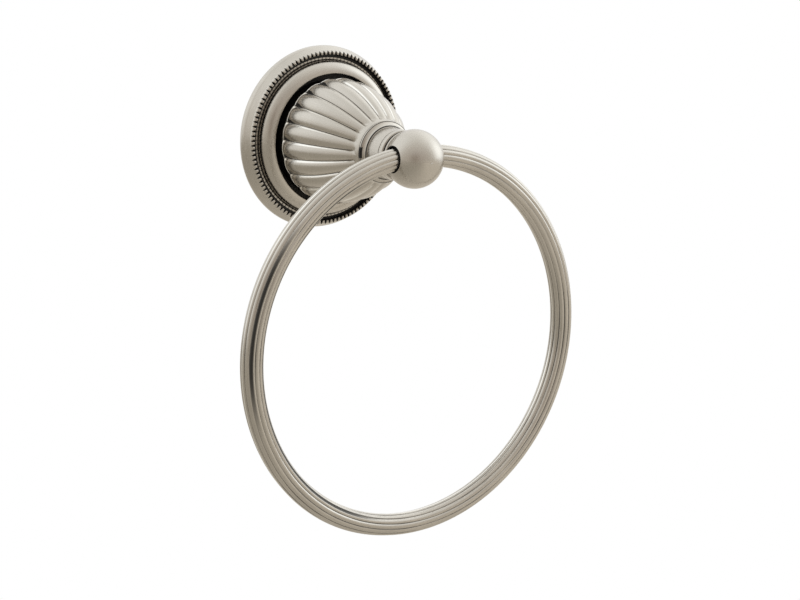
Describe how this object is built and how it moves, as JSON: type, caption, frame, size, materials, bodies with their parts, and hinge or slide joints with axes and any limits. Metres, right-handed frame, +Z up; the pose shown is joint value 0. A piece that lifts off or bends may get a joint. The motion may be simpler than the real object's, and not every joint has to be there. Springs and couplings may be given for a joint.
{
  "type": "towel ring",
  "caption": "Wall-mounted towel ring: a lobed bell on a milled round flange, a turned neck and a ball with a lined eye, through which a closed reeded ring hangs and swings.",
  "frame": {"origin": "on the wall, at the centre of the two wall screw holes, which is on the post's axis", "axes": "+Y into the wall along the post's axis, +Z up, +X to the right for someone facing the wall"},
  "size_m": [0.165, 0.0881, 0.1987],
  "materials": {
    "nickel_flange": "warm brushed nickel, darker in the grooves",
    "nickel_bell": "warm brushed nickel, darker in the creases",
    "nickel_post": "warm brushed nickel",
    "nickel_ring": "warm brushed nickel, darker in the grooves",
    "black_nylon": "black moulded nylon",
    "zinc_bracket": "die-cast zinc, plain",
    "plated_screws": "bright zinc plated steel"
  },
  "bodies": {
    "post": {"flange": "nickel_flange", "bell": "nickel_bell", "ball_post": "nickel_post", "wall_bracket": "zinc_bracket", "tie_screw": "plated_screws", "lock_washer": "plated_screws", "set_screw": "plated_screws"},
    "bush": {"eye_bush": "black_nylon"},
    "ring": {"towel_ring": "nickel_ring"}
  },
  "joints": [
    {"name": "ring_swing", "type": "hinge", "parent": "post", "child": "bush", "pos_m": [0, -0.076, 0.0008], "axis": [-1, 0, 0], "range_deg": [-27, 207]},
    {"name": "ring_turn", "type": "hinge", "parent": "bush", "child": "ring", "pos_m": [0, -0.076, -0.07674], "axis": [0, -1, 0], "continuous": true}
  ]
}
